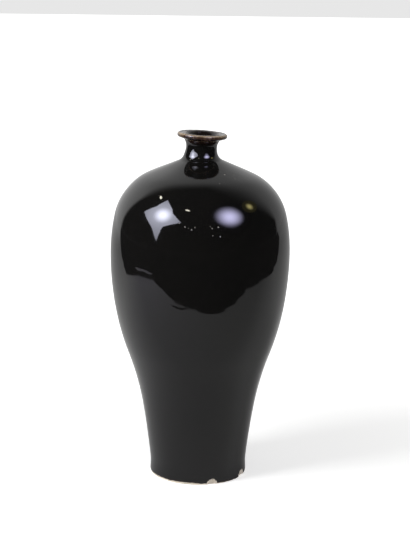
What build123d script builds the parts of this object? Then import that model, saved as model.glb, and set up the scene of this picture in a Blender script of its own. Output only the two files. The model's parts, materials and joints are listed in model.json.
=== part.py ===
from build123d import *

import os
from math import atan2, cos, degrees, radians, sin, sqrt, tan

# A black-glazed meiping: a tall vase with a small mouth, high round shoulders and a narrow foot.
# Millimetres, +Z up, origin on the ground under the middle of the foot, -Y towards the viewer.

# Outline of the body, measured over the glaze
foot_radius = 47.7
ankle_height = 9.0
leg_swell = 0.1
leg_height = 17.5
belly_radius = 87.3
belly_height = 223.0
shoulder_radius = 64.3
shoulder_rise = 68.0
collar_radius = 40.0
collar_rise = 81.3

# Slopes of that outline off the vertical, in degrees, outward being positive on the way up
foot_slope = -1.9
leg_slope = 6.3
waist_slope = 20.5
shoulder_slope = -50.5
collar_slope = -66.0

# Where the outline leans out most, as shares of the way from the leg to the belly
waist_height_share = 0.516
waist_flare_share = 0.56

# Neck and mouth, measured over the glaze, with heights above the crown of the shoulder
neck_lean = 3.0
neck_radius = 14.9
neck_skirt_radius = 20.0
neck_skirt_slope = 15.0
neck_root_fillet = 10.0
throat_rise = 3.9
lip_rise = 16.9
lip_radius = 23.9
lip_thickness = 3.6
lip_groove_depth = 0.5
mouth_radius = 17.0
bore_radius = 10.5
bore_rise = 6.0

# Clay, glaze and slip
glaze_thickness = 0.5
wall_thickness = 6.5
bore_root_fillet = 15.0
floor_thickness = 9.0
floor_corner_height = 12.0
slip_thickness = 0.8
slip_bead_radius = 1.6
slip_bead_reach = 0.5

# Foot ring
foot_ring_width = 8.5
foot_recess_depth = 5.0
foot_recess_fillet = 2.5
foot_edge_bevel = 0.5
glaze_line_height = 1.3

# Where the glazes and the thrown sections meet, above the crown of the shoulder
neck_seam_rise = -6.5
lip_glaze_rise = 10.7
inner_glaze_drop = 11.0

# Chips knocked out of the foot: how far round from the front towards +X, in degrees, and the ball
# that scoops each one, with its middle standing off the foot
front_chip_turn = 17.3
front_chip_radius = 9.0
front_chip_standoff = 6.6
front_chip_height = 0.0
side_chip_turn = 58.0
side_chip_radius = 14.0
side_chip_standoff = 11.5
side_chip_height = -1.0

# How far a cutting solid runs past what it cuts
overrun = 2.0


def climb(slope):
    """Return the direction of an outline that climbs at a slope in degrees off the vertical."""
    return Vector(sin(radians(slope)), cos(radians(slope)))


def inside(radius, height, slope, inset):
    """Return the outline point at a radius and height, moved square to its slope into the wall."""
    along = climb(slope)
    return Vector(radius, height) + Vector(-along.Y, along.X) * inset


def biarc(start, start_slope, end, end_slope):
    """Draw two arcs that run smoothly into each other and keep the slope given at either end."""
    leaving = climb(start_slope)
    arriving = climb(end_slope)
    chord = end - start
    pull = chord.dot(leaving + arriving)
    spread = 2 * (1 - leaving.dot(arriving))
    reach = chord.dot(chord) / (pull + sqrt(pull**2 + spread * chord.dot(chord)))
    middle = (start + leaving * reach + end - arriving * reach) / 2
    first = TangentArc(start, middle, tangent=leaving)
    TangentArc(middle, end, tangent=first % 1)


# Above the collar the shoulder runs straight, and the crown is where it would meet the axis
shoulder_height = belly_height + shoulder_rise
collar_height = belly_height + collar_rise
crown_height = collar_height - collar_radius / tan(radians(collar_slope))

# The knots of the body outline: radius, height and slope. The foot runs straight below the ankle
ankle_radius = foot_radius + ankle_height * tan(radians(foot_slope))
leg_radius = foot_radius + leg_swell
waist_radius = leg_radius + waist_flare_share * (belly_radius - leg_radius)
waist_height = leg_height + waist_height_share * (belly_height - leg_height)
knots = [
    (ankle_radius, ankle_height, foot_slope),
    (leg_radius, leg_height, leg_slope),
    (waist_radius, waist_height, waist_slope),
    (belly_radius, belly_height, 0),
    (shoulder_radius, shoulder_height, shoulder_slope),
    (collar_radius, collar_height, collar_slope),
]

# The room inside follows the same outline from the round of its floor up
hollow_start_height = foot_recess_depth + floor_thickness + floor_corner_height
hollow_start_radius = leg_radius + (hollow_start_height - leg_height) * tan(radians(leg_slope))
hollow_knots = [(hollow_start_radius, hollow_start_height, leg_slope)] + knots[2:]

# The neck leans as one with its mouth, about the crown
neck_direction = Vector(sin(radians(neck_lean)), 0, cos(radians(neck_lean)))
crown = Vector(0, 0, crown_height)
neck_axis = Axis(crown, neck_direction)
neck_profile_plane = Plane(crown, x_dir=(neck_direction.Z, 0, -neck_direction.X), z_dir=(0, -1, 0))

# Below the throat the neck curves out into a short skirt, which stands on the shoulder
skirt_centre = Vector(neck_radius + neck_skirt_radius, throat_rise)
skirt_foot_rise = -neck_root_fillet - overrun

# The rolled edge of the lip is a circle that the flare of the neck runs into
roll_radius = lip_thickness / 2
roll_centre = Vector(lip_radius - roll_radius, lip_rise - roll_radius)
roll_offset = roll_centre - Vector(neck_radius, throat_rise)
flare_radius = (roll_offset.dot(roll_offset) - roll_radius**2) / (2 * (roll_radius + roll_offset.X))
flare_centre = Vector(neck_radius + flare_radius, throat_rise)
flare_turn = 180 - degrees(atan2(roll_centre.Y - flare_centre.Y, roll_centre.X - flare_centre.X))


def neck_plane(rise):
    """Return the plane across the neck at a height above the crown, facing up."""
    return Plane(crown + neck_direction * rise, z_dir=neck_direction)


def peak(inset):
    """Return the height where the straight shoulder meets the axis, once moved into the wall."""
    return crown_height + inset / sin(radians(collar_slope))


def draw_wall(wall_knots, inset):
    """Draw the outline from the first knot up to the axis, and return its first point."""
    points = [inside(radius, height, slope, inset) for radius, height, slope in wall_knots]
    slopes = [slope for radius, height, slope in wall_knots]
    for step in range(len(points) - 1):
        biarc(points[step], slopes[step], points[step + 1], slopes[step + 1])
    Line(points[-1], (0, peak(inset)))
    return points[0]


def outer_form(inset):
    """Return the whole vase as a full solid, with every outer face moved into the wall."""
    lip_top = lip_rise - inset
    with BuildPart() as form:
        with BuildSketch(Plane.XZ):
            with BuildLine():
                ankle = draw_wall(knots, inset)
                drop = ankle.Y + overrun
                below = ankle - Vector(drop * tan(radians(foot_slope)), drop)
                Polyline(ankle, below, (0, below.Y), (0, peak(inset)))
            make_face()
        revolve(axis=Axis.Z)
        with BuildSketch(neck_profile_plane):
            with BuildLine():
                skirt = CenterArc(
                    skirt_centre, neck_skirt_radius + inset, 180 + neck_skirt_slope, -neck_skirt_slope
                )
                drop = (skirt @ 0).Y - skirt_foot_rise
                root = skirt @ 0 + Vector(drop * tan(radians(neck_skirt_slope)), -drop)
                Polyline((0, lip_top), (0, skirt_foot_rise), root, skirt @ 0)
                CenterArc(flare_centre, flare_radius + inset, 180, -flare_turn)
                CenterArc(roll_centre, roll_radius - inset, -flare_turn, 90 + flare_turn)
                SagittaArc((roll_centre.X, lip_top), (mouth_radius, lip_top), lip_groove_depth)
                Line((mouth_radius, lip_top), (0, lip_top))
            make_face()
        revolve(axis=neck_axis)
        fillet(form.edges(Select.NEW), radius=neck_root_fillet + inset)
    return form.part


def hollow_form(inset, lining):
    """Return the room inside the vase as a full solid, open at the mouth and lined by a glaze."""
    bore = bore_radius - lining
    mouth = mouth_radius - lining
    top = lip_rise + overrun
    with BuildPart() as form:
        with BuildSketch(Plane.XZ):
            with BuildLine():
                start = draw_wall(hollow_knots, inset)
                slant = climb(leg_slope) * floor_corner_height / cos(radians(leg_slope))
                corner = start - slant - Vector(slant.length, 0)
                TangentArc(start, corner, tangent=-slant)
                Polyline(corner, (0, corner.Y), (0, peak(inset)))
            make_face()
        revolve(axis=Axis.Z)
        with BuildSketch(neck_profile_plane):
            with BuildLine():
                Polyline((bore, bore_rise), (bore, -bore_root_fillet), (0, -bore_root_fillet), (0, top))
                TangentArc((bore, bore_rise), (mouth, lip_rise), tangent=climb(0))
                Polyline((mouth, lip_rise), (mouth, top), (0, top))
            make_face()
        revolve(axis=neck_axis)
        fillet(form.edges(Select.NEW), radius=bore_root_fillet + lining)
    return form.part


glazed_form = outer_form(0)
clay_form = outer_form(glaze_thickness)
clay_hollow = hollow_form(wall_thickness, 0)
lined_hollow = hollow_form(wall_thickness, glaze_thickness)

# Planes that part the pieces
ground = Plane.XY
slip_base = Plane.XY.offset(belly_height)
slip_top = slip_base.offset(slip_thickness)
neck_slip_base = neck_plane(neck_seam_rise)
neck_slip_top = neck_plane(neck_seam_rise + slip_thickness)
lip_glaze_edge = neck_plane(lip_glaze_rise)
inner_glaze_edge = neck_plane(-inner_glaze_drop)

# Two scars where the foot was knocked, each a hollow like the inside of a shell
with BuildPart() as foot_chips:
    with PolarLocations(foot_radius + front_chip_standoff, 1, start_angle=front_chip_turn - 90):
        with Locations((0, 0, front_chip_height)):
            Sphere(front_chip_radius)
    with PolarLocations(foot_radius + side_chip_standoff, 1, start_angle=side_chip_turn - 90):
        with Locations((0, 0, side_chip_height)):
            Sphere(side_chip_radius)

# What the turning tool takes off the foot: the recess under the base and the sharp edges of its ring
ring_outer_radius = foot_radius - glaze_thickness
ring_inner_radius = ring_outer_radius - foot_ring_width
with BuildPart() as foot_turning:
    with BuildSketch(Plane.XZ) as recess_profile:
        with BuildLine():
            Polyline(
                (0, -overrun),
                (0, foot_recess_depth),
                (ring_inner_radius, foot_recess_depth),
                (ring_inner_radius, foot_edge_bevel),
                (ring_inner_radius + foot_edge_bevel + overrun, -overrun),
                close=True,
            )
        make_face()
        recess_corner = recess_profile.vertices().group_by(Axis.Y)[-1].sort_by(Axis.X)[-1]
        fillet(recess_corner, radius=foot_recess_fillet)
        with BuildLine():
            Polyline(
                (ring_outer_radius - foot_edge_bevel - overrun, -overrun),
                (ring_outer_radius + overrun, foot_edge_bevel + overrun),
                (ring_outer_radius + overrun, -overrun),
                close=True,
            )
        make_face()
    revolve(axis=Axis.Z)

# Lower section, thrown with the foot
with BuildPart() as lower_body:
    add(clay_form)
    add(clay_hollow, mode=Mode.SUBTRACT)
    split(bisect_by=slip_base, keep=Keep.BOTTOM)
    split(bisect_by=ground, keep=Keep.TOP)
    add(foot_turning.part, mode=Mode.SUBTRACT)
    add(foot_chips.part, mode=Mode.SUBTRACT)

# Upper section, thrown apart and set on the lower one rim to rim
with BuildPart() as shoulder_body:
    add(clay_form)
    add(clay_hollow, mode=Mode.SUBTRACT)
    split(bisect_by=slip_top, keep=Keep.TOP)
    split(bisect_by=neck_slip_base, keep=Keep.BOTTOM)

# Neck and mouth, leaning a little as they were set on
with BuildPart() as neck:
    add(clay_form)
    add(clay_hollow, mode=Mode.SUBTRACT)
    split(bisect_by=neck_slip_top, keep=Keep.TOP)

# Slip that lutes the two body sections, squeezed into a bead inside where no hand could reach
with BuildPart() as slip_bead:
    with BuildSketch(Plane.XZ):
        bead_ring_radius = belly_radius - wall_thickness - slip_bead_reach
        with Locations((bead_ring_radius, belly_height + slip_thickness / 2)):
            Circle(slip_bead_radius)
    revolve(axis=Axis.Z)
    add(clay_hollow, mode=Mode.INTERSECT)
with BuildPart() as belly_luting:
    add(clay_form)
    add(clay_hollow, mode=Mode.SUBTRACT)
    split(bisect_by=slip_base, keep=Keep.TOP)
    split(bisect_by=slip_top, keep=Keep.BOTTOM)
    add(slip_bead.part)

# Slip under the neck, wiped flush on both sides
with BuildPart() as neck_luting:
    add(clay_form)
    add(clay_hollow, mode=Mode.SUBTRACT)
    split(bisect_by=neck_slip_base, keep=Keep.TOP)
    split(bisect_by=neck_slip_top, keep=Keep.BOTTOM)

# Black glaze from just above the ground to just under the lip
with BuildPart() as outer_glaze:
    add(glazed_form)
    split(bisect_by=ground.offset(glaze_line_height), keep=Keep.TOP)
    split(bisect_by=lip_glaze_edge, keep=Keep.BOTTOM)
    add(clay_form, mode=Mode.SUBTRACT)
    add(foot_chips.part, mode=Mode.SUBTRACT)

# Thin russet glaze over the lip, from which the thick black has run down
with BuildPart() as lip_glaze:
    add(glazed_form)
    split(bisect_by=lip_glaze_edge, keep=Keep.TOP)
    add(clay_form, mode=Mode.SUBTRACT)
    add(clay_hollow, mode=Mode.SUBTRACT)

# Glaze poured in at the mouth lines the neck and ends just inside the shoulder
with BuildPart() as inner_glaze:
    add(clay_hollow)
    split(bisect_by=inner_glaze_edge, keep=Keep.TOP)
    add(lined_hollow, mode=Mode.SUBTRACT)
    add(glazed_form, mode=Mode.INTERSECT)

os.makedirs("parts", exist_ok=True)
pieces = {
    "lower_body": lower_body,
    "shoulder_body": shoulder_body,
    "neck": neck,
    "belly_luting": belly_luting,
    "neck_luting": neck_luting,
    "outer_glaze": outer_glaze,
    "lip_glaze": lip_glaze,
    "inner_glaze": inner_glaze,
}
for name, piece in pieces.items():
    piece.part.label = name
    export_step(piece.part, f"parts/{name}.step")
    print(name, len(piece.part.solids()), "solids", round(piece.part.volume), "mm3")
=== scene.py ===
# %% [markdown]
# # A black-glazed meiping vase, dressed for its picture
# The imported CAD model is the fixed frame: two thrown clay sections, a neck, the slip between them
# and three coats of glaze. This script gives it the finish that a kiln gives: a deep black glaze
# with pinholes, a thin russet lip, bare clay at the foot and the two chips knocked out of it.

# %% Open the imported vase
import json
import math

import bpy
import numpy as np
from mathutils import Matrix, Vector

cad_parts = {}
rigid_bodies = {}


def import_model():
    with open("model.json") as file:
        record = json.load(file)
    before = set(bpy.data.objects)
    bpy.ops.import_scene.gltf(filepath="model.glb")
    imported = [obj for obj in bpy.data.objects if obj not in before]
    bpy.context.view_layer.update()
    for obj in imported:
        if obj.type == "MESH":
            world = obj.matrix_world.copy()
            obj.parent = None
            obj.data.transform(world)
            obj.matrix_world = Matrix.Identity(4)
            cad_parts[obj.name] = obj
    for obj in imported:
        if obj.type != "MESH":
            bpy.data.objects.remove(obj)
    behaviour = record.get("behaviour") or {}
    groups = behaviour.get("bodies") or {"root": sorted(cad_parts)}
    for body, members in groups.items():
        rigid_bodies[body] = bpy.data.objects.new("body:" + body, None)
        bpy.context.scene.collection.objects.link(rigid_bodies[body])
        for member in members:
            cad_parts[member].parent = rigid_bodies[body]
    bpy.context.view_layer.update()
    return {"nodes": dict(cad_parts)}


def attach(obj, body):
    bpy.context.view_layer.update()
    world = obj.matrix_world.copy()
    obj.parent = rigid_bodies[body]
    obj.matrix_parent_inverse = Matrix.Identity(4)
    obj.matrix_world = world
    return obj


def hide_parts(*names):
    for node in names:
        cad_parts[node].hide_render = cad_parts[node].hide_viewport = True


for leftover in list(bpy.data.objects):
    bpy.data.objects.remove(leftover)

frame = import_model()
scene = bpy.context.scene
scene.view_settings.view_transform = "Standard"

# %% [markdown]
# ## Helpers
# Potters measure in millimetres and Blender works in metres, so one function turns one into the
# other. Colours are written as sRGB hex, as a colour picker shows them, and turned to linear.
# One function adds a node, and a few short ones use it for what most materials need.

# %% Millimetres, colours and nodes
def metres(millimetres):
    """Return millimetres as metres."""
    return millimetres / 1000


def linear(hex_colour):
    """Return an sRGB hex colour as the linear colour that Blender's sockets take."""
    channels = [int(hex_colour[place : place + 2], 16) / 255 for place in (1, 3, 5)]
    return [c / 12.92 if c <= 0.04045 else ((c + 0.055) / 1.055) ** 2.4 for c in channels] + [1]


def feature(size):
    """Return the scale of a texture whose features are this many millimetres across."""
    return 1 / metres(size)


def add(tree, kind, inputs=(), **settings):
    """Add a node, set its settings, and link or set each input. Return the node."""
    node = tree.nodes.new("ShaderNode" + kind)
    for name, value in settings.items():
        setattr(node, name, value)
    for name, value in dict(inputs).items():
        if isinstance(value, bpy.types.NodeSocket):
            tree.links.new(value, node.inputs[name])
        else:
            node.inputs[name].default_value = value
    return node


def blend(tree, share, first, second):
    """Mix two colours, each an sRGB hex or a node's output, by a share. Return the output."""
    pair = [linear(colour) if isinstance(colour, str) else colour for colour in (first, second)]
    return add(tree, "Mix", {0: share, 6: pair[0], 7: pair[1]}, data_type="RGBA").outputs[2]


def map_range(tree, value, start, end, low, high, kind="LINEAR"):
    """Turn a value that runs from start to end into one from low to high. Return the output."""
    inputs = {"Value": value, "From Min": start, "From Max": end, "To Min": low, "To Max": high}
    return add(tree, "MapRange", inputs, interpolation_type=kind).outputs["Result"]


def work_out(tree, operation, *values):
    """Do one sum on up to three values, each a number or a node's output. Return the output."""
    return add(tree, "Math", dict(enumerate(values)), operation=operation).outputs[0]


def noise(tree, place, size, detail, **inputs):
    """Return the output of a noise whose features are this many millimetres across."""
    inputs = {"Vector": place, "Scale": feature(size), "Detail": detail, **inputs}
    return add(tree, "TexNoise", inputs).outputs["Fac"]


def empty_tree(holder):
    """Switch a material or a world to nodes, clear them, and return the tree."""
    holder.use_nodes = True
    holder.node_tree.nodes.clear()
    return holder.node_tree


# %% [markdown]
# ## The camera
# The photograph was taken with a long lens from a little above the shoulder. The camera looks at
# the middle of the vase, then turns a touch so that this point falls left of the middle of the
# picture and below it, as it does in the photograph.

# %% Camera
picture_height_px = 547
focal_px = 1499.94
aim_px = (-5.4, -30.8)
roll = math.radians(0.63)
lift = math.radians(13.774)
aim_height = metres(170)
distance = metres(1473.1)

camera_data = bpy.data.cameras.new("camera")
camera = bpy.data.objects.new("camera", camera_data)
scene.collection.objects.link(camera)
scene.camera = camera
camera_data.sensor_width = 36
camera_data.lens = focal_px / picture_height_px * camera_data.sensor_width

facing = Matrix(((1, 0, 0), (0, math.sin(lift), -math.cos(lift)), (0, math.cos(lift), math.sin(lift))))
aim = Vector((aim_px[0], aim_px[1], -focal_px)).rotation_difference(Vector((0, 0, -1)))
eye = Vector((0, -math.cos(lift), math.sin(lift))) * distance + Vector((0, 0, aim_height))
turned = facing @ Matrix.Rotation(roll, 3, "Z") @ aim.to_matrix()
camera.matrix_world = Matrix.Translation(eye) @ turned.to_4x4()
print("lens", round(camera_data.lens, 2), "mm, from", [round(v, 3) for v in eye])

# %% [markdown]
# ## The outline of the vase
# Thrown pots are lathe forms, so the outline is drawn once, as radius and height, and swept
# round. It is the CAD source's line of arcs, in millimetres, with slopes in degrees off the
# vertical.

# %% Outline of the body, over the glaze
foot_radius = 47.7
ankle_height = 9.0
leg_swell = 0.1
leg_height = 17.5
belly_radius = 87.3
belly_height = 223.0
shoulder_radius = 64.3
shoulder_rise = 68.0
collar_radius = 40.0
collar_rise = 81.3
foot_slope = -1.9
leg_slope = 6.3
waist_slope = 20.5
shoulder_slope = -50.5
collar_slope = -66.0
waist_height_share = 0.516
waist_flare_share = 0.56


def climb(slope):
    """Return the direction of an outline that climbs at a slope."""
    return np.array([math.sin(math.radians(slope)), math.cos(math.radians(slope))])


def half_turn(angle):
    """Return an angle in radians brought to within half a turn of zero."""
    return (angle + math.pi) % (2 * math.pi) - math.pi


def spokes(angles):
    """Return the directions at some angles, as pairs."""
    return np.stack([np.cos(angles), np.sin(angles)], 1)


def arc(start, leaving, end, count=80):
    """Return points on the arc that leaves start in a direction and reaches end."""
    chord = end - start
    side = np.array([leaving[1], -leaving[0]])
    radius = chord @ chord / (2 * chord @ side)
    centre = start + radius * side
    first = math.atan2(start[1] - centre[1], start[0] - centre[0])
    last = math.atan2(end[1] - centre[1], end[0] - centre[0])
    return centre + abs(radius) * spokes(first + half_turn(last - first) * np.linspace(0, 1, count))


def biarc(start, start_slope, end, end_slope):
    """Return points on two arcs that meet smoothly and keep the slope given at either end."""
    leaving = climb(start_slope)
    arriving = climb(end_slope)
    chord = end - start
    pull = chord @ (leaving + arriving)
    spread = 2 * (1 - leaving @ arriving)
    reach = chord @ chord / (pull + math.sqrt(pull**2 + spread * chord @ chord))
    middle = (start + leaving * reach + end - arriving * reach) / 2
    turning = end - arriving * reach - start - leaving * reach
    first = arc(start, leaving, middle)
    second = arc(middle, turning / np.linalg.norm(turning), end)
    return np.concatenate([first, second[1:]])


collar_height = belly_height + collar_rise
leg_radius = foot_radius + leg_swell
knots = [
    (foot_radius + ankle_height * math.tan(math.radians(foot_slope)), ankle_height, foot_slope),
    (leg_radius, leg_height, leg_slope),
    (
        leg_radius + waist_flare_share * (belly_radius - leg_radius),
        leg_height + waist_height_share * (belly_height - leg_height),
        waist_slope,
    ),
    (belly_radius, belly_height, 0),
    (shoulder_radius, belly_height + shoulder_rise, shoulder_slope),
    (collar_radius, collar_height, collar_slope),
]
runs = [np.array([[foot_radius, 0.0]])]
for (radius, height, slope), (next_radius, next_height, next_slope) in zip(knots, knots[1:]):
    run = biarc(np.array([radius, height]), slope, np.array([next_radius, next_height]), next_slope)
    runs.append(run if len(runs) == 1 else run[1:])
outline = np.concatenate(runs)
print("outline from foot to collar:", len(outline), "points")


def radius_at(height, line=outline):
    """Return a line's radius at a height."""
    return np.interp(height, line[:, 1], line[:, 0])


# %% [markdown]
# ## The collar, the neck and the mouth
# Above its collar the shoulder climbs straight, as a low cone. The neck stands on it, leaning 3
# degrees to the right as it was set on, and flares out at its root. A small ball rolled round the
# join gives the fillet between them. Where that ball touches the shoulder and the neck can be
# worked out for each direction, so the glaze drawn here lies on the CAD surface to a few
# hundredths of a millimetre. Rises are measured along the neck from the crown, the cone's tip.

# %% Collar and leaning neck
steep = math.radians(90 + collar_slope)
crown = np.array([0, 0, collar_height + collar_radius * math.tan(steep)])
neck_lean = math.radians(3.0)
neck_up = np.array([math.sin(neck_lean), 0, math.cos(neck_lean)])
neck_right = np.array([math.cos(neck_lean), 0, -math.sin(neck_lean)])
neck_radius = 14.9
neck_skirt_radius = 20.0
neck_skirt_slope = math.radians(15.0)
neck_root_fillet = 10.0
throat_rise = 3.9
lip_rise = 16.9
lip_radius = 23.9
lip_thickness = 3.6
lip_groove_depth = 0.5
mouth_radius = 17.0
lip_glaze_rise = 10.7
glaze_thickness = 0.5
rounds_to_settle = 12


def round_neck(radius, rise):
    """Return a ring of points about the leaning axis, by radius and rise."""
    out = np.sin(turns)[:, None] * neck_right - np.cos(turns)[:, None] * np.array([0, 1, 0])
    radius = np.broadcast_to(radius, turns.shape)[:, None]
    rise = np.broadcast_to(rise, turns.shape)[:, None]
    return crown + out * radius + neck_up * rise


def between(first, last, share):
    """Return directions part of the way round from one to the other, all of unit length."""
    angle = np.arccos(np.clip((first * last).sum(1, keepdims=True), -1, 1))
    return (np.sin((1 - share) * angle) * first + np.sin(share * angle) * last) / np.sin(angle)


def direction(angle):
    """Return the direction at an angle, as radius and rise."""
    return np.array([math.cos(angle), math.sin(angle)])


def roll_ball(start, flare, ball_radius, shoulder_peak):
    """Return the centres of a ball rolled round the neck's root, and where it touches the walls."""
    down = np.array([math.sin(flare), -math.cos(flare)])
    slid = np.zeros(turns.shape)
    for _ in range(rounds_to_settle):
        radius, rise = (start + ball_radius * direction(flare))[:, None] + down[:, None] * slid
        centre = round_neck(radius, rise)
        from_axis = np.hypot(centre[:, 0], centre[:, 1])
        wanted = shoulder_peak + ball_radius / math.cos(steep) - from_axis * math.tan(steep)
        slid += (centre[:, 2] - wanted) / (math.cos(flare) - math.tan(steep) * math.sin(flare))
    on_neck = round_neck(*(start[:, None] + down[:, None] * slid))
    leaning = np.stack([centre[:, 0] / from_axis, centre[:, 1] / from_axis], 1) * math.sin(steep)
    facing = np.concatenate([leaning, np.full((len(turns), 1), math.cos(steep))], 1)
    return centre, on_neck, centre - ball_radius * facing


roll_radius = lip_thickness / 2
roll_centre = np.array([lip_radius - roll_radius, lip_rise - roll_radius])
reach = roll_centre - [neck_radius, throat_rise]
flare_radius = (reach @ reach - roll_radius**2) / (2 * (roll_radius + reach[0]))
flare_centre = np.array([neck_radius + flare_radius, throat_rise])
flare_end = math.atan2(roll_centre[1] - flare_centre[1], roll_centre[0] - flare_centre[0])
skirt_centre = np.array([neck_radius + neck_skirt_radius, throat_rise])
hem = skirt_centre - neck_skirt_radius * direction(neck_skirt_slope)
print("crown at", round(crown[2], 2), "mm, flare radius", round(flare_radius, 2), "mm")

# %% [markdown]
# ## Rings into a skin
# A lathe form is a grid: rings of points one above the other. Where the pot has fine detail, at
# the chips, the grid is finer. One function joins the rings to a mesh, and values kept with the
# points, such as how thin the glaze is there, can then be read by the materials.

# %% Grid and mesh
chip_turns = [(6, 29), (48, 82)]
fine_step = 0.4
plain_step = 1.0
stations = [0.0]
while stations[-1] < 360:
    at_chip = any(first <= stations[-1] < last for first, last in chip_turns)
    stations.append(stations[-1] + (fine_step if at_chip else plain_step))
turns = np.radians(np.array([turn for turn in stations if turn < 360 - plain_step / 2]))
print(len(turns), "points round the vase")


def round_axis(radius, height, turns=turns):
    """Return a ring of points about the upright axis, turning from the front to the right."""
    radius = np.broadcast_to(radius, turns.shape)
    height = np.broadcast_to(height, turns.shape)
    return np.stack([radius * np.sin(turns), -radius * np.cos(turns), height], 1)


def make_skin(name, rings, values=None, capped=False):
    """Join rings of points, given in millimetres, to a smooth mesh object."""
    count, width = rings.shape[:2]
    rows = np.arange(count - 1)[:, None]
    here = np.arange(width)
    after = (here + 1) % width
    above = rows + 1
    corners = [rows * width + here, rows * width + after, above * width + after, above * width + here]
    faces = np.stack(corners, -1).reshape(-1, 4).tolist()
    if capped:
        faces.append(list(range(width))[::-1])
        faces.append([(count - 1) * width + place for place in range(width)])
    mesh = bpy.data.meshes.new(name)
    mesh.from_pydata(metres(rings.reshape(-1, 3)).tolist(), [], faces)
    for key, spread in (values or {}).items():
        layer = mesh.attributes.new(key, "FLOAT", "POINT")
        layer.data.foreach_set("value", np.broadcast_to(spread, (count, width)).ravel().astype(np.float32))
    mesh.shade_smooth()
    piece = bpy.data.objects.new(name, mesh)
    scene.collection.objects.link(piece)
    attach(piece, "root")
    print(name, len(mesh.polygons), "faces")
    return piece


def facing_out(rings):
    """Return the unit direction that points out of the skin at every point of the rings."""
    upward = np.gradient(rings, axis=0)
    round_about = np.roll(rings, -1, 1) - np.roll(rings, 1, 1)
    outward = np.cross(round_about, upward)
    return outward / np.linalg.norm(outward, axis=2, keepdims=True)


# %% [markdown]
# ## The unevenness of hand work
# Nothing on a thrown pot is quite round. A few waves of seeded random phase, laid round the pot,
# give the wander of a glaze edge and the slow swell left by the potter's hands.

# %% Seeded waves
dice = np.random.default_rng(1127)
wave_gain = 1.4


def wander(slowest, fastest):
    """Return a ring of values within about one of zero, from waves that go round whole times."""
    waves = np.arange(slowest, fastest + 1)
    phases = dice.uniform(0, 2 * math.pi, len(waves))
    heights = dice.uniform(0.5, 1, len(waves)) / np.sqrt(len(waves))
    return (heights * np.cos(turns[:, None] * waves + phases)).sum(1) * wave_gain


def ease(low, high, values):
    """Return a smooth step from 0 at low to 1 at high."""
    share = np.clip((values - low) / (high - low), 0, 1)
    return share * share * (3 - 2 * share)


def hump(middle, width, values):
    """Return a bell of height 1 at the middle, down to about a third at the width."""
    return np.exp(-(((values - middle) / width) ** 2))


# %% [markdown]
# ## Chips at the foot
# A knock on a foot ring breaks out a shell-shaped scar. In the CAD each scar is the mark of a
# ball; here the same ball gets a ragged edge and the faint ripples that a shock leaves in
# stoneware, and the side chip goes a little further round, as in the photograph. Points of the
# clay inside the ball move back to its surface. The glaze moves back a little further, so it
# ends in a crisp broken edge round the scar.

# %% Chips
chips = [
    {"turn": 17.3, "radius": 9.0, "standoff": 6.6, "height": 0.0, "ragged": 0.25},
    {"turn": 66.0, "radius": 14.0, "standoff": 11.5, "height": -1.0, "ragged": 0.6},
]
for chip in chips:
    chip["waves"] = [(k, dice.uniform(0, 2 * math.pi), dice.uniform(0.4, 1)) for k in (3, 5, 8, 13)]
ripple_spacing = 1.3
ripple_height = 0.06
chip_reach = 0.6  # radians round the foot, more than either chip takes up
glaze_set_back = 0.16


def knock_out(rings, extra):
    """Move points inside the chips' balls back to them. Return the rings and how deep they went."""
    rings = rings.copy()
    depth = np.zeros(rings.shape[:2])
    for chip in chips:
        off_axis = foot_radius + chip["standoff"]
        radius = np.hypot(rings[..., 0], rings[..., 1])
        around = half_turn(np.arctan2(rings[..., 0], -rings[..., 1]) - math.radians(chip["turn"]))
        aside = foot_radius * around
        up = rings[..., 2] - chip["height"]
        angle = np.arctan2(up, aside)
        far = np.hypot(aside, up)
        ragged = sum(h * np.sin(k * angle + phase) for k, phase, h in chip["waves"]) / 2
        ripples = ripple_height * np.sin(2 * math.pi * far / ripple_spacing + 2 * ragged)
        ball = chip["radius"] + extra + chip["ragged"] * ragged + ripples
        along = off_axis * np.cos(around)
        room = along**2 - off_axis**2 - up**2 + ball**2
        struck = (room > 0) & (np.abs(around) < chip_reach)
        back = along - np.sqrt(np.where(struck, room, 0))
        struck &= back < radius
        shrink = np.where(struck, back / np.maximum(radius, 1), 1)
        depth = np.where(struck, radius - back, depth)
        rings[..., 0] *= shrink
        rings[..., 1] *= shrink
    return rings, depth


# %% [markdown]
# ## The black glaze
# The glaze was poured over the pot and ran down until it froze in a wandering edge just above
# the ground, lower at the front right and higher at the front left. It could be left as the CAD
# shell with a bump in its material, but a mirror-black surface shows its form only by what it
# reflects, so the slow waves of throwing, the thick edge and the broken rim round the chips are
# real geometry here. One skin goes from the foot to the underside of the lip, and its two ends
# tuck in under their neighbours. Its rings lie closer near the foot and where it has wrinkles.

# %% Rows of the glaze coat
glaze_line_height = 1.3
glaze_edge_mean = 1.35
glaze_edge_least = 0.25
edge_lobes = [(42, 34, -0.75), (-30, 38, 0.6)]  # turn, width in degrees, rise
wrinkled_bands = [(180, 190), (216, 224), (247, 256)]
foot_rows_end = 22
foot_row_step = 1.2
wrinkle_row_step = 1.4
plain_row_step = 2.9
coat_over_lip_seam = 0.9


def spaced(line, spacing):
    """Return a line's points again, with steps between them that follow its height."""
    steps = np.linalg.norm(np.diff(line, axis=0), axis=1)
    wanted = np.array([spacing(height) for height in (line[:-1, 1] + line[1:, 1]) / 2])
    count = np.concatenate([[0], np.cumsum(steps / wanted)])
    places = np.linspace(0, count[-1], max(2, int(math.ceil(count[-1])) + 1))
    return np.stack([np.interp(places, count, line[:, 0]), np.interp(places, count, line[:, 1])], 1)


def row_spacing(height):
    """Return the step between rows of the coat at a height."""
    if height < foot_rows_end:
        return foot_row_step
    wrinkled = any(first < height < last for first, last in wrinkled_bands)
    return wrinkle_row_step if wrinkled else plain_row_step


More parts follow.
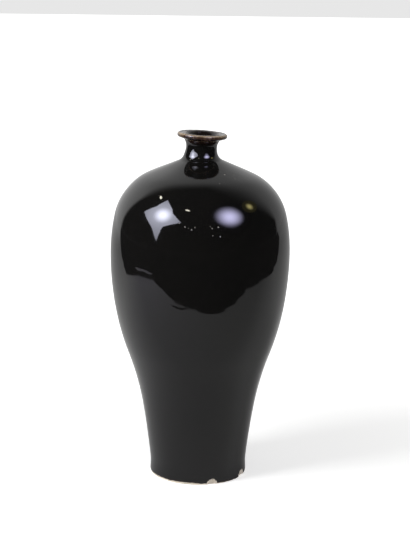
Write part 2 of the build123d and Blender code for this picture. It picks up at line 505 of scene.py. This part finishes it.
glaze_edge_height = glaze_edge_mean
for turn, width, rise in edge_lobes:
    degrees_away = (np.degrees(turns) + (180 - turn)) % 360 - 180
    glaze_edge_height = glaze_edge_height + rise * hump(0, width, degrees_away)
glaze_edge_height = glaze_edge_height + 0.3 * wander(3, 9) + 0.12 * wander(17, 60)
glaze_edge_height = np.maximum(glaze_edge_height, glaze_edge_least)
low_rows = np.concatenate([[0, 0.06, 0.16, 0.3, 0.48, 0.7], np.arange(1.0, 12.1, 0.42)])
low_end = low_rows[-1] + glaze_line_height
tall = np.concatenate([[[radius_at(low_end), low_end]], outline[outline[:, 1] > low_end]])
tall = spaced(tall, row_spacing)

coat = []
for row in low_rows:
    lifted = (glaze_edge_height - glaze_line_height) * (1 - ease(0, low_rows[-1], row))
    height = row + glaze_line_height + lifted
    coat.append(round_axis(radius_at(height), height))
coat += [round_axis(radius, height) for radius, height in tall[1:]]

ball_centre, on_neck, on_shoulder = roll_ball(hem, neck_skirt_slope, neck_root_fillet, crown[2])
root_radius = np.hypot(on_shoulder[:, 0], on_shoulder[:, 1])
root_turn = half_turn(np.arctan2(on_shoulder[:, 0], -on_shoulder[:, 1]) - turns)
for share in np.linspace(0, 1, 9)[1:]:
    radius = collar_radius + share * (root_radius - collar_radius)
    coat.append(round_axis(radius, crown[2] - radius * math.tan(steep), turns + share * root_turn))
to_shoulder = (on_shoulder - ball_centre) / neck_root_fillet
to_neck = (on_neck - ball_centre) / neck_root_fillet
for share in np.linspace(0, 1, 18)[1:]:
    coat.append(ball_centre + neck_root_fillet * between(to_shoulder, to_neck, share))
hem_ring = round_neck(*hem)
coat += [on_neck + (hem_ring - on_neck) * share for share in (0.5, 1)]
for angle in np.linspace(neck_skirt_slope, 0, 7)[1:]:
    radius, rise = skirt_centre - neck_skirt_radius * direction(angle)
    coat.append(round_neck(radius, rise))
seam_climb = (lip_glaze_rise + coat_over_lip_seam - throat_rise) / flare_radius
for angle in np.linspace(math.pi, math.pi - math.asin(seam_climb), 9)[1:]:
    radius, rise = flare_centre + flare_radius * direction(angle)
    coat.append(round_neck(radius, rise))
coat = np.array(coat)
print("glaze coat:", coat.shape[0], "rings of", coat.shape[1])

# %% [markdown]
# The relief is small: a slow swell of about a tenth of a millimetre, throwing rings about a
# hundredth high, a bead where the glaze stopped, a few wrinkles where it dragged, and a fuller
# shoulder near the neck, by up to a millimetre on the left. In a mirror-like glaze that is
# enough to bend the reflections of the lamps as the photograph shows.

# %% Relief of the glaze
swells = [(150, 0.09), (83, 0.06), (41, 0.025)]
ring_spacing = 8.5
ring_rise = 0.006
wrinkles = [  # turn, height, length, tilt in degrees, rise
    (-41.5, 221.2, 5, 0, 0.21),
    (-34.5, 219.9, 7, -4, 0.21),
    (-16, 185.6, 11, -9, 0.12),
    (25, 251.0, 8, 0, 0.2),
    (128, 203, 22, 4, 0.10),
    (205, 160, 15, -3, 0.08),
]
wrinkle_width = 1.6
wrinkle_bend = 0.8
wrinkle_bend_length = 3.1
shoulder_swell_height = 298
shoulder_swell_width = 9
shoulder_swell_rise = 0.6
shoulder_swell_to_left = 0.35
bead_rise = 0.10
sunk_under_lip = 0.3

heights = coat[..., 2]
relief = np.zeros(heights.shape)
for wave_length, swell in swells:
    relief += swell * wander(1, 4) * np.sin(2 * math.pi * heights / wave_length + 2 * wander(1, 3))
relief += ring_rise * np.sin(2 * math.pi * heights / ring_spacing + turns) * (1 + wander(1, 4))
for turn, height, length, tilt, rise in wrinkles:
    aside = half_turn(turns - math.radians(turn)) * np.hypot(coat[..., 0], coat[..., 1])
    up = heights - height - aside * math.tan(math.radians(tilt))
    up = up + wrinkle_bend * np.sin(aside / wrinkle_bend_length)
    relief += rise * np.exp(-((up / wrinkle_width) ** 2) - (aside / length) ** 2)
shoulder_swell = shoulder_swell_rise - shoulder_swell_to_left * np.sin(turns)
relief += shoulder_swell * hump(shoulder_swell_height, shoulder_swell_width, heights)
above_edge = heights - glaze_edge_height
relief *= ease(0, 6, above_edge) * (1 - ease(crown[2], crown[2] + 8, heights))
bead = bead_rise * ease(0.2, 1.4, above_edge) * (1 - ease(1.6, 5, above_edge))
edge_round = np.clip(above_edge / glaze_thickness, 0, 1)
shortfall = glaze_thickness * (1 - np.sqrt(1 - (1 - edge_round) ** 2))
seam_rise = (coat - crown) @ neck_up - lip_glaze_rise
under_lip = sunk_under_lip * ease(-3.0, 0.6, seam_rise) * (heights > crown[2] - 15)
coat_out = facing_out(coat)
coat = coat + coat_out * (relief + bead - shortfall - under_lip)[..., None]

tuck = coat[:1] - coat_out[:1] * 0.25 + np.array([0, 0, 0.3])
coat = knock_out(np.concatenate([tuck, coat]), glaze_set_back)[0]
above_edge = np.concatenate([above_edge[:1], above_edge])
seam_rise = np.concatenate([seam_rise[:1], seam_rise])
glaze_body = ease(0, 0.9, above_edge) * (1 - 0.2 * ease(-4.5, 0.5, seam_rise))
black_coat = make_skin("black_glaze_coat", coat, {"glaze_body": glaze_body})
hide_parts("outer_glaze")

# %% [markdown]
# ## The stoneware foot and lower body
# Under the glaze is buff stoneware. It shows only as the bare line at the foot ring, inside the
# two scars and underneath, where the foot was turned. The skin here follows the CAD solid round
# its wall, outside and in, and adds the turning rings, a worn edge and the broken faces.

# %% Stoneware foot
wall_thickness = 6.5
foot_ring_width = 8.5
foot_recess_depth = 5.0
foot_recess_fillet = 2.5
foot_edge_bevel = 0.5
floor_thickness = 9.0
floor_corner_height = 12.0
chipped_rows_end = 12
chipped_row_step = 0.45
wall_row_step = 9
hollow_row_step = 11
centre_hole = 0.4
turning_spacing = 1.9
turning_rise = 0.05
ground_rise = 0.04
highest_relief = 0.03


def inset(line, depth):
    """Return a line moved square to itself into the wall."""
    along = np.gradient(line, axis=0)
    along /= np.linalg.norm(along, axis=1, keepdims=True)
    return line + np.stack([-along[:, 1], along[:, 0]], 1) * depth


clay_line = inset(outline, glaze_thickness)
clay_line = clay_line[clay_line[:, 1] <= belly_height]
clay_line = np.concatenate([clay_line, [[belly_radius - glaze_thickness, belly_height]]])
ring_outer = foot_radius - glaze_thickness
ring_inner = ring_outer - foot_ring_width
first_height = foot_edge_bevel + 0.05
first_point = [radius_at(first_height, clay_line), first_height]
outside = np.concatenate([[first_point], clay_line[clay_line[:, 1] > foot_edge_bevel]])
outside = spaced(outside, lambda height: chipped_row_step if height < chipped_rows_end else wall_row_step)

hollow_start = foot_recess_depth + floor_thickness + floor_corner_height
hollow_foot = leg_radius + (hollow_start - leg_height) * math.tan(math.radians(leg_slope))
hollow_points = [
    np.array([radius, height]) + np.array([-climb(slope)[1], climb(slope)[0]]) * wall_thickness
    for radius, height, slope in [(hollow_foot, hollow_start, leg_slope)] + knots[2:4]
]
hollow = np.concatenate([
    biarc(hollow_points[0], leg_slope, hollow_points[1], waist_slope),
    biarc(hollow_points[1], waist_slope, hollow_points[2], 0)[1:],
])
slant = climb(leg_slope) * floor_corner_height / climb(leg_slope)[1]
corner = hollow_points[0] - slant - np.array([np.linalg.norm(slant), 0])
floor_corner = arc(hollow_points[0], -climb(leg_slope), corner, 12)
hollow = spaced(hollow, lambda height: hollow_row_step)[::-1]

bevel = [
    (ring_outer, foot_edge_bevel),
    (ring_outer - 0.12, 0.2),
    (ring_outer - foot_edge_bevel + 0.05, 0.03),
]
ring_radii = np.linspace(ring_outer - foot_edge_bevel, ring_inner + foot_edge_bevel, 14)
ring_face = [(radius, 0.0) for radius in ring_radii]
recess_wall = [(ring_inner + 0.15, 0.12), (ring_inner, foot_edge_bevel), (ring_inner, 1.5)]
recess_corner = np.array([ring_inner, foot_recess_depth])
recess_turn = recess_corner - foot_recess_fillet * (1 - spokes(np.linspace(0, math.pi / 2, 7)))
recess_radii = np.linspace(ring_inner - foot_recess_fillet, centre_hole, 40)[1:]
recess_top = [(radius, foot_recess_depth) for radius in recess_radii]
under = np.concatenate([bevel, ring_face, recess_wall, recess_turn, recess_top])

foot_line = np.concatenate([under[::-1], outside, hollow, floor_corner[1:], [[centre_hole, corner[1]]]])
foot = np.array([round_axis(radius, height) for radius, height in foot_line])
foot_out = facing_out(foot)
radius_here = np.hypot(foot[..., 0], foot[..., 1])
is_under = (np.arange(len(foot_line)) < len(under))[:, None]
spiral = np.sin(2 * math.pi * radius_here / turning_spacing + turns) * (0.6 + 0.4 * wander(1, 5))
relief = turning_rise * spiral * is_under * ease(1, 3, radius_here)
relief += ground_rise * wander(5, 40) * is_under * (foot[..., 2] < 0.6)
foot = foot + foot_out * np.minimum(relief, highest_relief)[..., None]
foot[..., 2] = np.maximum(foot[..., 2], 0)
foot, scar_depth = knock_out(foot, 0)
stoneware_foot = make_skin("stoneware_foot", foot, {"scar": ease(0.02, 0.25, scar_depth)}, capped=True)
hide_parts("lower_body")

# %% [markdown]
# ## The russet lip
# On the rolled lip the glaze ran thin and the iron in it turned russet. The roll, its shallow
# groove and the inner edge are one skin, which ends in a feather edge over the black coat
# below and over the lining inside. What ran off the roll hangs as a bead on its underside. How
# much glaze lies at each point is kept with it: little on the roll's face and the inner edge,
# more in the groove and under the roll.

# %% Lip
bore_radius = 10.5
bore_rise = 6.0
lip_over_coat_seam = 0.8
groove_start = 0.12
edge_tuck = [0.35, 0.1]
feather_depth = 0.28
under_roll_rise = 0.7
under_roll_drop = 3.9
under_roll_width = 1.3
thin_roll_radius = 22.9

lining_top = arc(
    np.array([bore_radius - glaze_thickness, bore_rise]),
    climb(0),
    np.array([mouth_radius - glaze_thickness, lip_rise]),
)
inner_wall = lining_top[(lining_top[:, 1] > lip_rise - 2.2) & (lining_top[:, 1] < lip_rise - 0.25)]
groove_share = np.linspace(groove_start, 1, 16)
groove_radii = mouth_radius + (roll_centre[0] - mouth_radius) * groove_share
groove_rises = lip_rise - 4 * lip_groove_depth * groove_share * (1 - groove_share)
groove = np.stack([groove_radii, groove_rises], 1)
rolled = roll_centre + roll_radius * spokes(np.linspace(math.pi / 2, flare_end - math.pi, 30)[1:])
lip_seam = math.pi - math.asin((lip_glaze_rise - lip_over_coat_seam - throat_rise) / flare_radius)
flare = flare_centre + flare_radius * spokes(np.linspace(flare_end, lip_seam, 24)[1:])
lip_line = np.concatenate([inner_wall[::3], groove, rolled, flare])
lip_line[0] += edge_tuck
lip = np.array([round_neck(radius, rise) for radius, rise in lip_line])
lip_out = -facing_out(lip)
lip_radii = lip_line[:, 0]
rises = lip_line[:, 1]
is_flare = np.arange(len(lip_line)) >= len(lip_line) - len(flare)
feather = feather_depth * ease(lip_glaze_rise + 0.7, lip_glaze_rise - lip_over_coat_seam, rises) * is_flare
lip_waves = 0.05 * wander(2, 7) + 0.03 * wander(8, 24)
under_roll = under_roll_rise * hump(lip_rise - under_roll_drop, under_roll_width, rises) * (lip_radii > 18)
lip_relief = lip_waves * (rises > lip_rise - 5)[:, None] + (under_roll - feather)[:, None]
lip = lip + lip_out * lip_relief[..., None]
on_roll = hump(thin_roll_radius, 0.8, lip_radii) * (rises > lip_rise - 1.6)
on_face = 0.4 * ease(lip_rise - 4.6, lip_rise - 2.4, rises) * (lip_radii > 22.5)
on_inner_edge = 0.8 * hump(mouth_radius + 0.4, 0.7, lip_radii)
pooled = 1 - np.clip(on_roll + on_face + on_inner_edge, 0, 1)
pooled = pooled[:, None] + 0.14 * wander(3, 11) + 0.08 * wander(12, 40)
russet_lip = make_skin("russet_lip", lip, {"pooled": np.clip(pooled, 0, 1)})
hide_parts("lip_glaze")

# %% [markdown]
# ## The lining of the mouth
# Glaze poured in at the mouth lines the narrow bore and ends just inside the shoulder in a wavy
# edge. Little of it shows, but seen from above it gives the mouth its dark, wet depth.

# %% Mouth lining
bore_root_fillet = 15.0
lining_end_share = 0.60
lining_end_wander = 0.03
bore = bore_radius - glaze_thickness
lining_ball = bore_root_fillet + glaze_thickness
inside_peak = crown[2] - wall_thickness / math.cos(steep)
ball_centre, on_bore, on_ceiling = roll_ball(np.array([bore, bore_rise]), 0, lining_ball, inside_peak)
to_bore = (on_bore - ball_centre) / lining_ball
to_ceiling = (on_ceiling - ball_centre) / lining_ball
lining = [round_neck(radius, rise) for radius, rise in lining_top[-3::-4]]
bore_ring = round_neck(bore, bore_rise)
lining += [bore_ring + (on_bore - bore_ring) * share for share in (0, 0.5)]
end_share = lining_end_share + lining_end_wander * wander(2, 6)
for share in np.linspace(0, 1, 26):
    lining.append(ball_centre + lining_ball * between(to_bore, to_ceiling, (share * end_share)[:, None]))
lining = np.array(lining)
lining = np.concatenate([lining, lining[-1:] - facing_out(lining)[-1:] * glaze_thickness])
mouth_lining = make_skin("mouth_lining", lining)
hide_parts("inner_glaze")

# %% [markdown]
# ## Iron-black glaze
# A lime glaze with about a tenth of iron oxide, fired at 1250 degrees, comes out as black glass.
# The eye reads it by its clear reflections. Where it ran thin, at its edges, the iron shows as
# a reddish brown. A faint ripple stands for the glass's skin.
#
# Pinholes are the craters of gas bubbles that burst as the glaze cooled, with greyish glaze at the
# bottom. Those that the photograph shows are placed one by one, as turn, height and radius,
# drawn a little wider than life so they show. A patch on the right shoulder is rubbed by
# handling, with fine scratches that dull it.

# %% Black glaze
glass_index = 1.5
pinholes = [
    (-9.9, 262.7, 0.8), (-3.5, 262.6, 0.8), (-5.6, 260.4, 0.9), (-7.7, 261.6, 0.5), (-13.9, 265.7, 0.8),
    (7.4, 261.6, 0.8), (11.4, 262.9, 0.9), (6.2, 263.4, 0.5), (7.8, 255.2, 0.7), (12.5, 254.3, 0.8),
    (33.3, 304.0, 1.1), (18.9, 298.0, 0.8), (41.0, 300.4, 0.7), (47.0, 303.1, 0.6),
    (-118.0, 240.2, 0.8), (152.0, 271.0, 0.8), (201.0, 118.0, 0.7),
]
pinhole_bottom_share = 0.25
pinhole_depth = 0.35
skin_ripple = 0.004
worn_spot = (47, 302)
worn_inner_radius = 7
worn_outer_radius = 21
worn_depth = 0.16
worn_roughness = 0.2
least_roughness = 0.04


def on_vase(turn, height):
    """Return the point of the outline's surface at a turn in degrees and a height, in metres."""
    radius = (crown[2] - height) / math.tan(steep) if height > collar_height else radius_at(height)
    turn = math.radians(turn)
    return metres(Vector((radius * math.sin(turn), -radius * math.cos(turn), height)))


def new_material(name):
    """Return a new material, its tree, the shader at its end and the place on the object."""
    material = bpy.data.materials.new(name)
    tree = empty_tree(material)
    shader = add(tree, "BsdfPrincipled", {"IOR": glass_index})
    add(tree, "OutputMaterial", {"Surface": shader.outputs[0]})
    return material, tree, shader, add(tree, "TexCoord").outputs["Object"]


def raise_relief(tree, height, depth, below=None, strength=1):
    """Return a surface's direction with a bump, its depth in millimetres, on the one below."""
    inputs = {"Height": height, "Distance": metres(depth), "Strength": strength}
    if below is not None:
        inputs["Normal"] = below
    return add(tree, "Bump", inputs).outputs["Normal"]


def fill_black(tree, place, body):
    """Return a black glaze's colour and roughness. It is russet where it has little body."""
    drift = noise(tree, place, 28, 2)
    black = blend(tree, drift, "#0d0d0d", "#11100f")
    russet = blend(tree, noise(tree, place, 1.4, 2), "#2c140a", "#5b2f16")
    return blend(tree, body, russet, black), map_range(tree, drift, 0.3, 0.7, 0.03, 0.07)


def distance_to(tree, place, point):
    """Return the distance from the place on the object to a point."""
    return add(tree, "VectorMath", {0: place, 1: point}, operation="DISTANCE").outputs["Value"]


black_glaze, tree, shader, place = new_material("iron_black_glaze")
body = add(tree, "Attribute", attribute_name="glaze_body").outputs["Fac"]
glass, gloss = fill_black(tree, place, body)
crater = None
for turn, height, radius in pinholes:
    away = distance_to(tree, place, on_vase(turn, height))
    bottom = metres(radius * pinhole_bottom_share)
    dent = map_range(tree, away, bottom, metres(radius), 0, 1, "SMOOTHSTEP")
    crater = dent if crater is None else work_out(tree, "MINIMUM", crater, dent)
from_worn = distance_to(tree, place, on_vase(*worn_spot))
worn = map_range(tree, from_worn, metres(worn_inner_radius), metres(worn_outer_radius), 1, 0, "SMOOTHSTEP")
rubbed = work_out(tree, "MULTIPLY", worn, noise(tree, place, 1.3, 2))
rough = work_out(tree, "MULTIPLY_ADD", rubbed, worn_roughness, least_roughness)
worn_relief = raise_relief(tree, rubbed, worn_depth)
skin_relief = raise_relief(tree, noise(tree, place, 3.2, 1), skin_ripple, worn_relief)
pitted = raise_relief(tree, crater, pinhole_depth, skin_relief)
tree.links.new(work_out(tree, "MAXIMUM", rough, gloss), shader.inputs["Roughness"])
tree.links.new(blend(tree, crater, "#78756e", glass), shader.inputs["Base Color"])
tree.links.new(pitted, shader.inputs["Normal"])
black_coat.data.materials.append(black_glaze)

lining_glaze, tree, shader, place = new_material("olive_black_lining_glaze")
glass, gloss = fill_black(tree, place, 0.96)
tree.links.new(glass, shader.inputs["Base Color"])
tree.links.new(gloss, shader.inputs["Roughness"])
mouth_lining.data.materials.append(lining_glaze)
print("pinholes placed:", len(pinholes))

# %% [markdown]
# ## Thin russet glaze
# The same glaze, thin: light passes through to the buff clay and back, so ridges come out tan
# and hollows nearly black. It is less glassy than the thick coat, as the clay drank some of it.

# %% Russet glaze
russet_glaze, tree, shader, place = new_material("thin_russet_iron_glaze")
pooled = add(tree, "Attribute", attribute_name="pooled").outputs["Fac"]
mottle = noise(tree, place, 2.2, 4, Roughness=0.6)
depth = work_out(tree, "MULTIPLY_ADD", mottle, 0.5, -0.25)
depth = add(tree, "Math", {0: pooled, 1: depth}, operation="ADD", use_clamp=True).outputs[0]
ramp = add(tree, "ValToRGB", {"Fac": depth})
stops = ramp.color_ramp.elements
stops[0].color = linear("#94826c")
stops[1].color = linear("#130e0c")
for position, colour in ((0.45, "#4c3a2c"), (0.75, "#2a1a16")):
    stops.new(position).color = linear(colour)
tree.links.new(ramp.outputs["Color"], shader.inputs["Base Color"])
tree.links.new(map_range(tree, depth, 0, 1, 0.32, 0.08), shader.inputs["Roughness"])
tree.links.new(raise_relief(tree, mottle, 0.03, strength=0.6), shader.inputs["Normal"])
russet_lip.data.materials.append(russet_glaze)
print("russet glaze:", len(stops), "colours")

# %% [markdown]
# ## Buff stoneware
# Stoneware is dense and dull, with grains of sand and specks of iron in it. Its grit is about a
# quarter of a millimetre, drawn here at half a millimetre so that it shows. Where it is
# freshly broken it is more uneven in colour than the skin, which dried smooth under the potter's
# sponge. Slip is the same clay with water, finer and a little darker.

# %% Stoneware and slip
speck_spacing = 2.4
cloud_size = 9


def finish_clay(name, pale, dark, grit, roughness, grit_depth):
    """Return a matt clay with grit of a size in millimetres and specks of iron."""
    material, tree, shader, place = new_material(name)
    cloud = noise(tree, place, cloud_size, 4)
    grain = noise(tree, place, grit, 3)
    specks = add(tree, "TexVoronoi", {"Vector": place, "Scale": feature(speck_spacing)})
    speck = map_range(tree, specks.outputs["Distance"], 0.08, 0.16, 0.6, 0)
    colour = blend(tree, speck, blend(tree, cloud, pale, dark), "#6e5138")
    tree.links.new(colour, shader.inputs["Base Color"])
    tree.links.new(raise_relief(tree, grain, grit_depth), shader.inputs["Normal"])
    shader.inputs["Roughness"].default_value = roughness
    return material, tree, shader, colour, grain


clay = finish_clay("turned_buff_stoneware", "#ece6d8", "#ded3bf", 0.5, 0.85, 0.08)
stoneware, tree, shader, skin_colour, grain = clay
scar = add(tree, "Attribute", attribute_name="scar").outputs["Fac"]
broken = blend(tree, grain, "#f2e9dc", "#c4b8a8")
tree.links.new(blend(tree, scar, skin_colour, broken), shader.inputs["Base Color"])
stoneware_foot.data.materials.append(stoneware)
slip = finish_clay("wiped_clay_slip", "#e0d8c6", "#d2c6b0", 0.3, 0.8, 0.03)[0]

for name in ("neck", "shoulder_body"):
    frame["nodes"][name].material_slots[0].material = stoneware
for name in ("belly_luting", "neck_luting"):
    frame["nodes"][name].material_slots[0].material = slip
print("clay and slip given to the nodes that stay")

# %% [markdown]
# ## The studio
# A mirror-black pot shows its surroundings, so the studio matters as much as the glaze. The
# vase stands on white paper. In front the room is dark. The camera sees a pale grey sky past the
# far end of the paper. In reflections the sky is bright behind and dark in front: the border
# between them is softer high up and on the right, and the paper is brighter on the left than on
# the right or overhead. For all else the sky is an even grey light.

# %% World
even_light = 0.42
room_light = 0.03
border_set_back = 0.53
border_turn = 0.07
border_tilt = 0.20

world = bpy.data.worlds.new("studio")
scene.world = world
tree = empty_tree(world)
towards = add(tree, "SeparateXYZ", {"Vector": add(tree, "TexCoord").outputs["Generated"]}).outputs
tilting = work_out(tree, "MULTIPLY_ADD", towards["X"], -border_tilt, border_tilt)
border = work_out(tree, "MULTIPLY_ADD", towards["X"], border_turn, towards["Y"])
border = work_out(tree, "MULTIPLY_ADD", towards["Z"], tilting, border)
border = work_out(tree, "SUBTRACT", border, border_set_back)
softness = map_range(tree, towards["Z"], 0.5, 0.95, 0.05, 0.21)
corner = work_out(tree, "MULTIPLY", towards["X"], towards["Z"])
right_soft = map_range(tree, corner, 0.08, 0.46, 0, 0.19)
softness = work_out(tree, "ADD", softness, right_soft)
border = work_out(tree, "ADD", border, right_soft)
border = work_out(tree, "DIVIDE", border, softness)
behind = map_range(tree, border, -1, 1, 0, 1, "SMOOTHSTEP")
sideways = map_range(tree, towards["X"], -0.7, 0.5, 1.2, 0.66)
overhead = map_range(tree, towards["Z"], 0.55, 1, 1, 0.62)
paper = work_out(tree, "MULTIPLY", sideways, overhead)
mirrored = work_out(tree, "MULTIPLY_ADD", behind, paper, room_light)
ray = add(tree, "LightPath").outputs
strength = add(tree, "Mix", {0: ray["Is Glossy Ray"], 2: even_light, 3: mirrored}).outputs[0]
seen = work_out(tree, "MAXIMUM", ray["Is Camera Ray"], ray["Is Transmission Ray"])
strength = add(tree, "Mix", {0: seen, 2: strength, 3: 1.0}).outputs[0]
sky = add(tree, "Background", {"Strength": strength})
add(tree, "OutputWorld", {"Surface": sky.outputs[0]})
print("sky ready:", len(tree.nodes), "nodes")

# %% [markdown]
# The floor is white paper under the lamps. A little light of its own, for the camera and for
# reflections only, brings it up to plain white and leaves the shadow in it. In reflections the
# paper in front of the vase is painted greyer, a painted shade, with a painted blue tint of light
# on the left; far off it glows as the sky above it does.

# %% Paper floor
floor_reach = 9
floor_height = metres(-0.05)  # just under the foot ring, so that the two don't lie in one plane


def make_flat(name, corners):
    """Return a flat stage object from corner points in metres."""
    mesh = bpy.data.meshes.new(name)
    mesh.from_pydata([tuple(corner) for corner in corners], [], [list(range(len(corners)))])
    card = bpy.data.objects.new(name, mesh)
    scene.collection.objects.link(card)
    return card


floor_corners = [(x * floor_reach, y * floor_reach) for x, y in ((-1, -1), (1, -1), (1, 1), (-1, 1))]
floor = make_flat("paper_floor", [(x, y, floor_height) for x, y in floor_corners])
paper_material = bpy.data.materials.new("white_paper")
tree = empty_tree(paper_material)
place = add(tree, "TexCoord").outputs["Object"]
across = add(tree, "SeparateXYZ", {"Vector": place}).outputs
away = add(tree, "VectorMath", {0: place}, operation="LENGTH").outputs["Value"]
ray = add(tree, "LightPath").outputs
sheet = blend(tree, noise(tree, place, 3, 3), "#ebebeb", "#f0f0ef")
# Painted shade: for reflections alone, the paper in front is painted grey, with a blue tint on the left.
painted_shade_in_front = blend(tree, map_range(tree, across["X"], -0.9, 0.1, 0, 1), "#c1bfcb", "#bcbcbc")
mirrored = blend(tree, map_range(tree, across["Y"], -0.15, 0.2, 0, 1), painted_shade_in_front, sheet)
matt = add(tree, "BsdfDiffuse", {"Color": blend(tree, ray["Is Glossy Ray"], sheet, mirrored)})
left_glow = map_range(tree, across["X"], -1.5, 1.5, 0.62, 0.2)
far_glow = map_range(tree, away, 0.8, 3.5, room_light, left_glow)
far_white = map_range(tree, away, 0.15, 0.9, 0.47, 1, "SMOOTHSTEP")
mirror_share = work_out(tree, "MULTIPLY", ray["Is Glossy Ray"], far_glow)
seen = work_out(tree, "MAXIMUM", ray["Is Camera Ray"], ray["Is Transmission Ray"])
seen = work_out(tree, "MAXIMUM", seen, mirror_share)
glow = add(tree, "Emission", {"Strength": work_out(tree, "MULTIPLY", seen, far_white)})
both = add(tree, "AddShader", {0: matt.outputs[0], 1: glow.outputs[0]})
add(tree, "OutputMaterial", {"Surface": both.outputs[0]})
floor.data.materials.append(paper_material)
print("paper floor", 2 * floor_reach, "m wide")

# %% [markdown]
# ## Lamps
# Two soft lamps light the vase: the main one from the left and above, and a weaker one from the
# right. A lamp's own shape shows in the glaze, so the lamps themselves are kept out of
# reflections and cards of the right shape stand in their places, seen by reflections alone. The
# left card has four points and hollow sides, as a stretched square of cloth has. The right one
# fades out from its core. Two small ovals are bare lamps, and a dim yellow spot is one further
# off. Each card has three strengths: at its core, just outside it, and at its rim.

# %% Lamps and cards
look_at = Vector((0, 0, metres(270)))
lamp_distance = metres(1200)
card_rim_reach = 700


def towards_lamp(turn, lift):
    """Return the direction to a lamp, by its turn from the front to the right and its lift."""
    turn, lift = math.radians(turn), math.radians(lift)
    return Vector((math.sin(turn) * math.cos(lift), -math.cos(turn) * math.cos(lift), math.sin(lift)))


def hang_lamp(name, turn, lift, size, power):
    """Hang a soft square lamp that lights the vase but isn't mirrored by it."""
    data = bpy.data.lights.new(name, "AREA")
    data.size = size
    data.energy = power
    lamp = bpy.data.objects.new(name, data)
    scene.collection.objects.link(lamp)
    lamp.location = look_at + towards_lamp(turn, lift) * lamp_distance
    lamp.rotation_euler = (look_at - lamp.location).to_track_quat("-Z", "Y").to_euler()
    lamp.visible_glossy = False


def light_in_mirror(card, material, colour, strength):
    """Make a stage object glow, seen in reflections alone. Strength is a number or an output."""
    card.visible_camera = False
    card.visible_diffuse = False
    card.visible_transmission = False
    card.visible_shadow = False
    glow = add(material.node_tree, "Emission", {"Color": linear(colour), "Strength": strength})
    add(material.node_tree, "OutputMaterial", {"Surface": glow.outputs[0]})
    card.data.materials.append(material)


def hang_card(name, turn, lift, corners, colour, strengths, core_at, core_reach):
    """Hang a card that glows most at its core. Corners, core and reach are in millimetres."""
    back = towards_lamp(turn, lift)
    across = back.cross(Vector((0, 0, 1))).normalized()
    up = across.cross(back)
    middle = look_at + back * lamp_distance
    card = make_flat(name, [middle + across * metres(u) + up * metres(v) for u, v in corners])
    material = bpy.data.materials.new(name)
    tree = empty_tree(material)
    centre = middle + across * metres(core_at[0]) + up * metres(core_at[1])
    away = distance_to(tree, add(tree, "TexCoord").outputs["Object"], centre)
    core, edge, rim = strengths
    fade = map_range(tree, away, 0, metres(card_rim_reach), edge, rim)
    shine = map_range(tree, away, 0, metres(core_reach), core, fade, "SMOOTHSTEP")
    light_in_mirror(card, material, colour, shine)


def oval(across, up, half_width, half_height, count=40):
    """Return corners round an oval, in millimetres on a card."""
    angles = np.linspace(0, 2 * math.pi, count, endpoint=False)
    return [(across + half_width * math.cos(a), up + half_height * math.sin(a)) for a in angles]


hang_lamp("left_lamp", -61.5, 30, 0.55, 13)
hang_lamp("right_lamp", 44, 37, 0.6, 4)
star = [
    (545, -40), (271, 239), (150, 589), (-201, 372), (-315, 228),
    (-761, 0), (-261, -349), (-108, -643), (157, -407),
]
bare_lamp = (22, 18, 18)
hang_card("star_cloth", -61.5, 30, star, "#e9ebff", (32, 14, 5), (-95, 40), 330)
hang_card("small_lamp_left", -101, 55, oval(-142, -62, 60, 24), "#fffbe8", bare_lamp, (-142, -62), 70)
hang_card("small_lamp_middle", -40, 59, oval(-255, -172, 62, 26), "#fffbe8", bare_lamp, (-255, -172), 75)
hang_card("right_cloth", 44, 37, oval(-10, -90, 680, 600), "#d9d6ff", (20, 0.1, 0), (22, -72), 465)
hang_card("warm_spot", 91, 41, oval(75, -55, 240, 190), "#fff0a0", (6, 0.3, 0), (75, -55), 130)
print("two lamps and five cards hung", lamp_distance, "m off")

# %% [markdown]
# The paper ends a little in front of the vase. Beyond it the room is dark, and the glaze shows
# that end as a dark field with a clear lower border. A dark card just over the floor draws it,
# seen only in reflections. Its points, in millimetres on the floor, were found by following
# rays from the border back through the glaze.

# %% Where the paper ends
paper_end = [
    (-8700, 6400), (-4048, 2927), (-2237, 1406), (-1593, 852), (-1230, 586), (-939, 327), (-808, 195),
    (-821, -117), (-756, -265), (-650, -393), (-428, -424), (-198, -413), (-105, -422), (-31, -418),
    (101, -388), (242, -369), (377, -363), (566, -333), (730, -149), (841, 161), (1033, 402),
    (1545, 782), (3156, 1900), (8700, 4900),
]
room_corners = [(8700, -8700), (-8700, -8700)]
card_height = 1.5
dark_corners = [metres(Vector((x, y, card_height))) for x, y in paper_end + room_corners]
dark_floor = make_flat("dark_room_floor", dark_corners)
dark_room = bpy.data.materials.new("dark_room")
empty_tree(dark_room)
light_in_mirror(dark_floor, dark_room, "#ffffff", room_light)
print("paper ends", -min(y for x, y in paper_end), "mm in front of the axis")

# %% Bring the scene up to date
bpy.context.view_layer.update()
